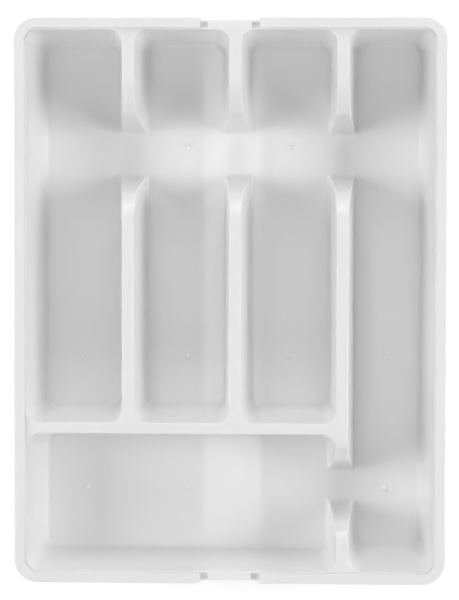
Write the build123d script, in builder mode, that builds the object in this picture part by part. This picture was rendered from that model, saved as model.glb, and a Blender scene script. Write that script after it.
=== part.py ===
"""Drawer organizer insert: a divided centre tray between two sections that slide out sideways.

Frame: +X right, +Y back, +Z up, origin on the drawer floor under the middle of the closed insert.
All sizes are in millimetres. The closed state, with both sections pushed in, is modelled.
"""
from build123d import *
import math
import os

os.makedirs("parts", exist_ok=True)

# Overall size, closed
closed_width = 290.0
depth = 380.0
height = 65.0

# Sliding sections
travel = 105.0
section_gap = 40.0
section_wall = 1.6
section_floor = 1.8
rim_corner = 15.5
rim_cover = 7.2
rim_edge_round = 0.8
lid_edge_round = 0.5
rim_web = 1.5
rim_lid = 1.7
ledge_top = 58.4
ledge_thickness = 1.6
slide_gap = 0.4

# Centre tray
wall = 1.8
tray_floor = 1.8
rim_thickness = 2.4
rim_lip_drop = 1.6
rim_lip = 1.0
wall_draft = 6.9
inner_corner = 8.0
pocket_setback = 1.0
floor_round = 3.0
edge_round = 0.8

# Dividers inside the centre tray
divider_top = 8.2
divider_draft = 4.3
divider_pitch = 72.0
middle_divider_x = 3.5
short_divider_end = 114.0
long_divider_end = 84.0
cross_divider_y = -85.5
cross_divider_top = 7.5
tail_end = -118.0
stub_end = -141.0
junction_round = 9.0

# Free ends of the dividers: run and knee run from the foot, knee drop from the top, rounding
long_ramp = (25.0, 11.5, 12.0, 22.0)
tail_ramp = (21.0, 10.0, 13.0, 8.0)
stub_ramp = (14.5, 7.5, 17.0, 9.0)

# Floor pips: X places in each row, by the row's Y place
pip_radius = 1.8
pip_height = 1.0
pip_taper = 35.0
pip_rows = {104.0: (-31.0, 39.0), -41.0: (-101.0, -31.0, 39.0, 106.0), -132.0: (-101.0, -31.0, 106.0)}

# Stops: a tooth under each end of a section's rim runs in a groove of the centre tray's rim
tooth_length = 4.0
tooth_width = 2.8
tooth_drop = 1.1
tooth_setback = 1.5
groove_width = 3.7
groove_depth = 1.5
groove_spare = 0.5
groove_shows = 5.3

# Making: how far joined solids run into each other, how far cutting solids run past, and how
# close to a level or a place an edge or a face has to be when it is picked there
overlap = 0.5
spare = 1.0
near = 1.0

# Directions: the least share of an edge along an axis, and the lean that a level or flat face may have
mostly_along = 0.5
nearly_along = 0.99
hardly_any = 0.01
least_rise = 0.05

# Worked out from the driving dimensions
half_x = closed_width / 2
half_y = depth / 2
tray_bottom = section_floor + slide_gap
floor_top = tray_bottom + tray_floor
lid_bottom = height - rim_lid
tray_top = lid_bottom - slide_gap
rim_bottom = tray_top - rim_thickness
lip_bottom = rim_bottom - rim_lip_drop
pocket_inset = rim_cover + pocket_setback
section_inset = pocket_inset - wall - slide_gap
section_end = section_gap / 2
tray_rim_inset = rim_web + slide_gap
groove_y = half_y - (tray_rim_inset + pocket_inset) / 2
tooth_start = section_end + tooth_setback
groove_end = tooth_start + tooth_length + travel + groove_spare
groove_start = section_end - groove_shows
corner_zone = pocket_inset + 2 * inner_corner
divider_x = [middle_divider_x + divider_pitch * step for step in (-1, 0, 1)]
last_divider_x = divider_x[-1]
widest_divider = divider_pitch / 3


def slope(drop, draft):
    """Sideways run of a wall that leans by the draft angle over a drop."""
    return drop * math.tan(math.radians(draft))


def trapezoid(centre, foot_half, top_half, low, high):
    """Corner points of an upright trapezoid around a centre line."""
    return [
        (centre - foot_half, low),
        (centre - top_half, high),
        (centre + top_half, high),
        (centre + foot_half, low),
    ]


def drafted_block(inset, plan_height, low, high, corner):
    """Block with leaning sides and round upright corners; inset is from the rim, at plan_height."""
    foot_lean = slope(plan_height - low, wall_draft)
    top_lean = slope(plan_height - high, wall_draft)
    with BuildPart() as block:
        for plane, half, mode in ((Plane.XZ, half_x, Mode.ADD), (Plane.YZ, half_y, Mode.INTERSECT)):
            with BuildSketch(plane):
                with BuildLine():
                    Polyline(
                        *trapezoid(0, half - inset - foot_lean, half - inset - top_lean, low, high),
                        close=True,
                    )
                make_face()
            extrude(amount=depth, both=True, mode=mode)
        fillet(block.edges().filter_by(lambda edge: abs(edge.tangent_at(0.5).Z) > mostly_along), corner)
    return block.part


def ramped_side(front, back, low, high, front_ramp, back_ramp):
    """Closed side view of a divider in Y and Z, as corner points with a rounding for each."""
    points = []
    rounds = []
    for foot, toward, ramp in ((front, 1, front_ramp), (back, -1, back_ramp)):
        end_points = [(foot, low), (foot, high)]
        end_rounds = [0, 0]
        if ramp:
            run, knee_run, knee_drop, rounding = ramp
            knee = (foot + toward * knee_run, high - knee_drop)
            end_points = [(foot, low), (foot, floor_top), knee, (foot + toward * run, high)]
            end_rounds = [0, 0, rounding, rounding]
        points += end_points[::toward]
        rounds += end_rounds[::toward]
    return points, rounds


def divider(centre_x, low, high, top_half, side):
    """Wall along Y with leaning flanks, cut to its side view."""
    points, rounds = side
    foot_half = top_half + slope(high - low, divider_draft)
    with BuildPart() as body:
        with BuildSketch(Plane.XZ):
            with BuildLine():
                Polyline(
                    (centre_x - foot_half, low),
                    (centre_x - top_half, high),
                    (centre_x + top_half, high),
                    (centre_x + foot_half, low),
                    close=True,
                )
            make_face()
        extrude(amount=depth, both=True)
        with BuildSketch(Plane.YZ.offset(centre_x)):
            with BuildLine():
                FilletPolyline(*points, radius=rounds, close=True)
            make_face()
        extrude(amount=foot_half + spare, both=True, mode=Mode.INTERSECT)
    return body.part


def cross_divider(left, right, low, high, top_half):
    """Wall along X with leaning flanks and plain ends."""
    foot_half = top_half + slope(high - low, divider_draft)
    with BuildPart() as body:
        with BuildSketch(Plane.YZ.offset(left)):
            with BuildLine():
                Polyline(
                    (cross_divider_y - foot_half, low),
                    (cross_divider_y - top_half, high),
                    (cross_divider_y + top_half, high),
                    (cross_divider_y + foot_half, low),
                    close=True,
                )
            make_face()
        extrude(amount=right - left)
    return body.part


def rim_ring(outer_inset, inner_inset, level):
    """Sketch of a flat ring that follows the rim, between two insets from the closed outline."""
    with BuildSketch(Plane.XY.offset(level)) as ring:
        for inset, mode in ((outer_inset, Mode.ADD), (inner_inset, Mode.SUBTRACT)):
            RectangleRounded(2 * (half_x - inset), 2 * (half_y - inset), rim_corner - inset, mode=mode)
    return ring.sketch


def divider_set(low, high, trim, shift):
    """All the dividers; trim is taken off each flank and shift moves each free end inwards."""
    long_half = divider_top / 2 - trim
    cross_half = cross_divider_top / 2 - trim
    short_side = ramped_side(short_divider_end + shift, half_y, low, high, long_ramp, None)
    long_side = ramped_side(cross_divider_y, long_divider_end - shift, low, high, None, long_ramp)
    last_side = ramped_side(tail_end + shift, long_divider_end - shift, low, high, tail_ramp, long_ramp)
    stub_side = ramped_side(-half_y, stub_end - shift, low, high, None, stub_ramp)
    walls = [divider(x, low, high, long_half, short_side) for x in divider_x]
    walls += [divider(x, low, high, long_half, long_side) for x in divider_x[:-1]]
    walls.append(divider(last_divider_x, low, high, long_half, last_side))
    walls.append(divider(last_divider_x, low, high, long_half, stub_side))
    walls.append(cross_divider(-half_x, last_divider_x, low, high, cross_half))
    return walls


def is_upright(edge):
    """True for an edge that runs from the tray's floor to the top of its walls, between the corners."""
    box = edge.bounding_box()
    full_height = abs(box.min.Z - floor_top) < near and box.max.Z > tray_top - near
    in_corner = abs(edge.center().X) > half_x - corner_zone and abs(edge.center().Y) > half_y - corner_zone
    return full_height and not in_corner


def is_ramp(face):
    """True for the faces that form the sloping end of a divider."""
    normal = face.normal_at()
    narrow = face.bounding_box().size.X < widest_divider
    above_floor = face.center().Z > floor_top + floor_round
    return narrow and above_floor and abs(normal.X) < hardly_any and normal.Z > least_rise


def is_brim(edge):
    """True for a top edge that borders a compartment, not the outside of the tray."""
    middle = edge.center()
    return max(abs(middle.X) - half_x, abs(middle.Y) - half_y) < near / 2 - pocket_inset


def is_across_divider(edge):
    """True for the short lines along X where the top of a divider folds into its ramp."""
    return abs(edge.tangent_at(0.5).X) > nearly_along and edge.length < widest_divider


# Blocks and walls that the centre tray is made from
tray_outside = drafted_block(pocket_inset - wall, tray_top, tray_bottom, tray_top, inner_corner + wall)
tray_pocket = drafted_block(pocket_inset, tray_top, floor_top, tray_top, inner_corner)
hollow_limit = drafted_block(pocket_inset, tray_top, tray_bottom - spare, tray_top, inner_corner)
rim_middle = pocket_inset - wall / 2

with BuildPart() as divider_walls:
    add(divider_set(floor_top - overlap, tray_top, 0, 0))
    add(tray_outside, mode=Mode.INTERSECT)

with BuildPart() as divider_hollows:
    add(divider_set(tray_bottom - spare, tray_top - wall, wall - slope(wall, divider_draft), wall))
    add(hollow_limit, mode=Mode.INTERSECT)

with BuildPart() as centre_tray:
    add(tray_outside)
    add(tray_pocket, mode=Mode.SUBTRACT)
    add(divider_walls.part)
    fillet(centre_tray.edges().filter_by(is_upright), junction_round)
    fillet(centre_tray.edges().filter_by_position(Axis.Z, floor_top, floor_top), floor_round)
    fillet(centre_tray.edges().filter_by_position(Axis.Z, tray_bottom, tray_bottom), floor_round + wall)

    # Round the brims of the compartments and the edges of the dividers' ramps
    brims = centre_tray.faces().sort_by(Axis.Z)[-1].edges().filter_by(is_brim)
    ramp_edges = centre_tray.faces().filter_by(is_ramp).edges()
    fillet((brims + ramp_edges).filter_by(is_across_divider, reverse=True), edge_round)
    add(divider_hollows.part, mode=Mode.SUBTRACT)

    # Turned-down rim
    add(rim_ring(tray_rim_inset, rim_middle, rim_bottom))
    extrude(amount=rim_thickness)
    add(rim_ring(tray_rim_inset, tray_rim_inset + rim_lip, lip_bottom))
    extrude(amount=rim_lip_drop)

    # Grooves for the sections' teeth; the inner end of each shows beside the closed section
    groove_length = groove_end - groove_start
    groove_middle = (groove_end + groove_start) / 2
    with BuildSketch(Plane.XY.offset(tray_top)):
        with GridLocations(2 * groove_middle, 2 * groove_y, 2, 2):
            Rectangle(groove_length, groove_width)
    extrude(amount=-groove_depth, mode=Mode.SUBTRACT)

    # Pips on the floors
    with BuildSketch(Plane.XY.offset(floor_top)):
        for row_y, places in pip_rows.items():
            with Locations([(x, row_y) for x in places]):
                Circle(pip_radius)
    extrude(amount=pip_height, taper=pip_taper)

centre_tray.part.label = "centre_tray"

# Shells that the sections are cut from: one wall further out than the centre tray, plus the gap
section_corner = inner_corner + wall + slide_gap
section_outside = drafted_block(
    section_inset - section_wall, tray_top, 0, ledge_top, section_corner + section_wall
)
section_pocket = drafted_block(section_inset, tray_top, section_floor, height, section_corner)

with BuildPart() as section_inside:
    add(section_pocket)
    floor_edges = section_inside.edges().filter_by_position(Axis.Z, section_floor, section_floor)
    fillet(floor_edges, floor_round + wall)

with BuildPart() as left_section:
    add(section_outside)
    fillet(left_section.edges().filter_by_position(Axis.Z, 0, 0), floor_round + wall + section_wall)

    # Channel around the rim: ledge, web and lid
    add(rim_ring(0, section_inset - section_wall / 2, ledge_top - ledge_thickness))
    extrude(amount=ledge_thickness)
    add(rim_ring(0, rim_web, ledge_top))
    extrude(amount=height - ledge_top)
    add(section_inside.part, mode=Mode.SUBTRACT)
    add(rim_ring(0, rim_cover, lid_bottom))
    extrude(amount=rim_lid)
    fillet(left_section.faces().sort_by(Axis.Z)[-1].outer_wire().edges(), rim_edge_round)
    fillet(left_section.faces().sort_by(Axis.Z)[-1].inner_wires()[0].edges(), lid_edge_round)
    split(bisect_by=Plane.YZ.offset(-section_end), keep=Keep.BOTTOM)

    # Stop teeth under the lid
    tooth_middle = tooth_start + tooth_length / 2
    with BuildSketch(Plane.XY.offset(lid_bottom)):
        with Locations((-tooth_middle, -groove_y), (-tooth_middle, groove_y)):
            Rectangle(tooth_length, tooth_width)
    extrude(amount=-tooth_drop)
left_section.part.label = "left_section"

with BuildPart() as right_section:
    mirror(left_section.part, about=Plane.YZ)
right_section.part.label = "right_section"

export_step(centre_tray.part, "parts/centre_tray.step")
export_step(left_section.part, "parts/left_section.step")
export_step(right_section.part, "parts/right_section.step")
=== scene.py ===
"""Looks of the drawer organizer insert: white moulded plastic on a light table, in soft studio light.

All lengths are in metres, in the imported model's frame: +X right, +Y back, +Z up.
"""
import math

import bpy
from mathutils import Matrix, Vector


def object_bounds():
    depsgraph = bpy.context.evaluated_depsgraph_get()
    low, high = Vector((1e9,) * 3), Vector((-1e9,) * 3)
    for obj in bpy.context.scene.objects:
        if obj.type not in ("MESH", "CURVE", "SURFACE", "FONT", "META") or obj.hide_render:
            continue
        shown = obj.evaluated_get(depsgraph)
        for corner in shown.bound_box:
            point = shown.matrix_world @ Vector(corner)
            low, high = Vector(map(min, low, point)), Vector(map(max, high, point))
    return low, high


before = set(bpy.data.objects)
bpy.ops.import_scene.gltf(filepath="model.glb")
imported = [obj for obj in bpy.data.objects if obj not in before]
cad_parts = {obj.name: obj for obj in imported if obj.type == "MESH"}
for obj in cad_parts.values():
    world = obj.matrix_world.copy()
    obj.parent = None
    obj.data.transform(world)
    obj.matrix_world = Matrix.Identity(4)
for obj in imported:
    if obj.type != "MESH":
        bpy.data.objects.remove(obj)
cad_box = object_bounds()

# ---------------------------------------------------------------- camera
# It looks almost straight down, from above the back right quarter of the insert.
# The sensor's width lies along the image's longer side. The tilt is in degrees about X, Y and Z.
LENS_MM = 155.22
SENSOR_MM = 36.0
CAMERA_PLACE = (0.066, 0.082, 1.794)
CAMERA_TILT = (-2.669, 2.193, 0.11)
CLIP_NEAR = 0.05
CLIP_FAR = 20.0


def make_camera():
    """Long lens that sees the whole insert from above."""
    data = bpy.data.cameras.new("camera")
    data.sensor_fit = "AUTO"
    data.sensor_width = SENSOR_MM
    data.lens = LENS_MM
    data.clip_start = CLIP_NEAR
    data.clip_end = CLIP_FAR
    camera = bpy.data.objects.new("camera", data)
    camera.location = CAMERA_PLACE
    camera.rotation_euler = [math.radians(angle) for angle in CAMERA_TILT]
    bpy.context.scene.collection.objects.link(camera)
    bpy.context.scene.camera = camera


# ---------------------------------------------------------------- light
SOFTBOX_DISTANCE = 2.2
SOFTBOX_SIZE = 1.2

# A main light on each side, one behind, a weaker one in front and a faint one overhead.
# Name, azimuth in degrees from +X towards +Y, elevation in degrees, power in watts
SOFTBOXES = (
    ("left", 180, 35, 23),
    ("right", 0, 30, 26),
    ("back", 90, 26, 19),
    ("front", 270, 30, 11),
    ("top", 0, 90, 6),
)


def make_softbox(name, azimuth, elevation, power):
    """Square area light that faces the middle of the insert."""
    data = bpy.data.lights.new(name, "AREA")
    data.shape = "SQUARE"
    data.size = SOFTBOX_SIZE
    data.energy = power
    light = bpy.data.objects.new(name, data)
    around, up = math.radians(azimuth), math.radians(elevation)
    outward = Vector((math.cos(around) * math.cos(up), math.sin(around) * math.cos(up), math.sin(up)))
    light.location = outward * SOFTBOX_DISTANCE
    light.rotation_euler = (-outward).to_track_quat("-Z", "Y").to_euler()
    bpy.context.scene.collection.objects.link(light)


# ---------------------------------------------------------------- node helpers
def new_material(name):
    """Material with its tree and its Principled shader."""
    material = bpy.data.materials.new(name)
    material.use_nodes = True
    return material, material.node_tree, material.node_tree.nodes["Principled BSDF"]


def connect(tree, value, socket):
    """Feeds a socket from another node's output, or sets it to a plain value."""
    if isinstance(value, bpy.types.NodeSocket):
        tree.links.new(value, socket)
    else:
        socket.default_value = value


def arithmetic(tree, operation, *values):
    """Math node's result for one to three values."""
    node = tree.nodes.new("ShaderNodeMath")
    node.operation = operation
    for value, socket in zip(values, node.inputs):
        connect(tree, value, socket)
    return node.outputs["Value"]


def spread(tree, value, source, target, smooth=False):
    """Value stretched from a source range to a target range, and held at its ends."""
    node = tree.nodes.new("ShaderNodeMapRange")
    if smooth:
        node.interpolation_type = "SMOOTHSTEP"
    for socket, number in zip(("From Min", "From Max", "To Min", "To Max"), (*source, *target)):
        node.inputs[socket].default_value = number
    connect(tree, value, node.inputs["Value"])
    return node.outputs["Result"]


def noise(tree, scale, detail, shift):
    """Noise over the object's own coordinates, moved by shift."""
    place = tree.nodes.new("ShaderNodeTexCoord")
    mapping = tree.nodes.new("ShaderNodeMapping")
    mapping.inputs["Location"].default_value = (shift, shift, shift)
    tree.links.new(place.outputs["Object"], mapping.inputs["Vector"])
    texture = tree.nodes.new("ShaderNodeTexNoise")
    texture.inputs["Scale"].default_value = scale
    texture.inputs["Detail"].default_value = detail
    tree.links.new(mapping.outputs["Vector"], texture.inputs["Vector"])
    return texture.outputs["Fac"]


def blend(tree, factor, first, second):
    """Colour between two colours."""
    node = tree.nodes.new("ShaderNodeMix")
    node.data_type = "RGBA"
    # A Mix node has sockets of the same name for each kind of value, so those for colours are picked
    colours = {socket.name: socket for socket in node.inputs if socket.type == "RGBA"}
    connect(tree, factor, node.inputs["Factor"])
    connect(tree, first, colours["A"])
    connect(tree, second, colours["B"])
    return next(socket for socket in node.outputs if socket.type == "RGBA")


# ---------------------------------------------------------------- floor
# Half the floor's width, and its paint
FLOOR_HALF = 6.0
FLOOR_SHADE = (0.9, 0.9, 0.9, 1)
FLOOR_ROUGHNESS = 0.9

# Glow of the floor and of the panel in it, how far the panel's edge lies inside the insert's
# outline, and how far on each side of that edge the one glow passes into the other
FLOOR_GLOW = 0.29
PANEL_GLOW = 0.62
PANEL_INSET = 0.025
PANEL_BLUR = 0.01


def make_floor():
    """Pale floor with a light panel let into it under the insert, as in a light table."""
    mesh = bpy.data.meshes.new("studio_floor")
    corners = [(x * FLOOR_HALF, y * FLOOR_HALF, 0) for x, y in ((-1, -1), (1, -1), (1, 1), (-1, 1))]
    mesh.from_pydata(corners, [], [(0, 1, 2, 3)])
    floor = bpy.data.objects.new("studio_floor", mesh)
    bpy.context.scene.collection.objects.link(floor)

    material, tree, shader = new_material("pale_floor")
    shader.inputs["Base Color"].default_value = FLOOR_SHADE
    shader.inputs["Roughness"].default_value = FLOOR_ROUGHNESS
    shader.inputs["Emission Color"].default_value = (1, 1, 1, 1)

    # How far a point lies outside the panel, whose edges are a little inside the insert's outline
    place = tree.nodes.new("ShaderNodeTexCoord")
    parts = tree.nodes.new("ShaderNodeSeparateXYZ")
    tree.links.new(place.outputs["Object"], parts.inputs["Vector"])
    past_sides = [
        arithmetic(tree, "SUBTRACT", arithmetic(tree, "ABSOLUTE", parts.outputs[axis]), side - PANEL_INSET)
        for axis, side in zip("XY", cad_box[1])
    ]
    outside = arithmetic(tree, "MAXIMUM", *past_sides)
    glow = spread(tree, outside, (-PANEL_BLUR, PANEL_BLUR), (PANEL_GLOW, FLOOR_GLOW), smooth=True)
    connect(tree, glow, shader.inputs["Emission Strength"])
    mesh.materials.append(material)


# ---------------------------------------------------------------- plastic
PLASTIC_IOR = 1.49

# Share of the light that goes in under the surface, and how far it spreads there, all colours
# alike. It spreads less in the sections, so the doubled floors look darker than the single one.
LIGHT_SHARE = 0.6
TRAY_LIGHT_DEPTH = 0.0016
SECTION_LIGHT_DEPTH = 0.0013
EVEN_COLOURS = (1, 1, 1)
SHADE_LOW = (0.915, 0.915, 0.917, 1)
SHADE_HIGH = (0.928, 0.928, 0.927, 1)
# Lighter colour painted on the edges as a highlight
PAINTED_EDGE_HIGHLIGHT = (0.98, 0.98, 0.978, 1)

# Edges, painted a lighter colour as a highlight and given a smoother gloss: how far from one that
# reaches, and the turn of the surface, as a cosine, where that starts and where it is complete
EDGE_REACH = 0.0007
EDGE_SAMPLES = 6
EDGE_TURN = (0.99, 0.85)
PAINTED_HIGHLIGHT_SHARE = 0.8
EDGE_POLISH = -0.14

# Noise: scale per metre, detail, and the range of it that is used
FLOW_MARKS = (20.0, 2.0)
FLOW_RANGE = (0.35, 0.65)
POLISH_MARKS = (60.0, 3.0)
POLISH_RANGE = (0.3, 0.7)
ROUGHNESS = (0.29, 0.34)
GRAIN = (2000.0, 1.0)
GRAIN_STRENGTH = 0.1
GRAIN_DEPTH = 0.00002

# Shifts that keep the layers of noise, and the three pieces' copies of them, from lining up
FLOW_SHIFT = 0.3
POLISH_SHIFT = 2.3
GRAIN_SHIFT = 3.1
TRAY_SHIFT = 2.0
LEFT_SHIFT = 5.0
RIGHT_SHIFT = 9.0


def white_plastic(name, shift, light_depth):
    """White moulded plastic; light_depth is how far light spreads under its surface."""
    material, tree, shader = new_material(name)
    shader.inputs["IOR"].default_value = PLASTIC_IOR
    shader.inputs["Subsurface Weight"].default_value = LIGHT_SHARE
    shader.inputs["Subsurface Radius"].default_value = EVEN_COLOURS
    shader.inputs["Subsurface Scale"].default_value = light_depth

    # 0 on the flats, 1 where the surface turns sharply within EDGE_REACH
    rounded = tree.nodes.new("ShaderNodeBevel")
    rounded.samples = EDGE_SAMPLES
    rounded.inputs["Radius"].default_value = EDGE_REACH
    surface = tree.nodes.new("ShaderNodeNewGeometry")
    turn = tree.nodes.new("ShaderNodeVectorMath")
    turn.operation = "DOT_PRODUCT"
    tree.links.new(rounded.outputs["Normal"], turn.inputs[0])
    tree.links.new(surface.outputs["Normal"], turn.inputs[1])
    edge = spread(tree, turn.outputs["Value"], EDGE_TURN, (0, 1))

    # Tone: faint flow marks some 50 mm wide, and a painted highlight that makes the edges a little lighter
    flow = spread(tree, noise(tree, *FLOW_MARKS, shift + FLOW_SHIFT), FLOW_RANGE, (0, 1))
    tone = blend(tree, flow, SHADE_LOW, SHADE_HIGH)
    # Painted highlight: the edges' colour is lightened towards a near white
    painted_highlight = arithmetic(tree, "MULTIPLY", edge, PAINTED_HIGHLIGHT_SHARE)
    connect(tree, blend(tree, painted_highlight, tone, PAINTED_EDGE_HIGHLIGHT), shader.inputs["Base Color"])

    # Gloss: slightly uneven polish of the mould, and smoother edges that catch a line of light
    polish = spread(tree, noise(tree, *POLISH_MARKS, shift + POLISH_SHIFT), POLISH_RANGE, ROUGHNESS)
    gloss = arithmetic(tree, "MULTIPLY_ADD", edge, EDGE_POLISH, polish)
    connect(tree, gloss, shader.inputs["Roughness"])

    # Relief: spark grain about half a millimetre wide
    grain = tree.nodes.new("ShaderNodeBump")
    grain.inputs["Strength"].default_value = GRAIN_STRENGTH
    grain.inputs["Distance"].default_value = GRAIN_DEPTH
    tree.links.new(noise(tree, *GRAIN, shift + GRAIN_SHIFT), grain.inputs["Height"])
    tree.links.new(grain.outputs["Normal"], shader.inputs["Normal"])
    return material


# ---------------------------------------------------------------- scene
make_camera()
for softbox in SOFTBOXES:
    make_softbox(*softbox)
make_floor()

plastics = {
    "centre_tray": white_plastic("tray_plastic", TRAY_SHIFT, TRAY_LIGHT_DEPTH),
    "left_section": white_plastic("left_section_plastic", LEFT_SHIFT, SECTION_LIGHT_DEPTH),
    "right_section": white_plastic("right_section_plastic", RIGHT_SHIFT, SECTION_LIGHT_DEPTH),
}
for node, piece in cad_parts.items():
    piece.data.materials.clear()
    piece.data.materials.append(plastics[node])

scene = bpy.context.scene
scene.view_settings.view_transform = "Standard"
scene.view_settings.look = "None"
scene.cycles.use_denoising = True
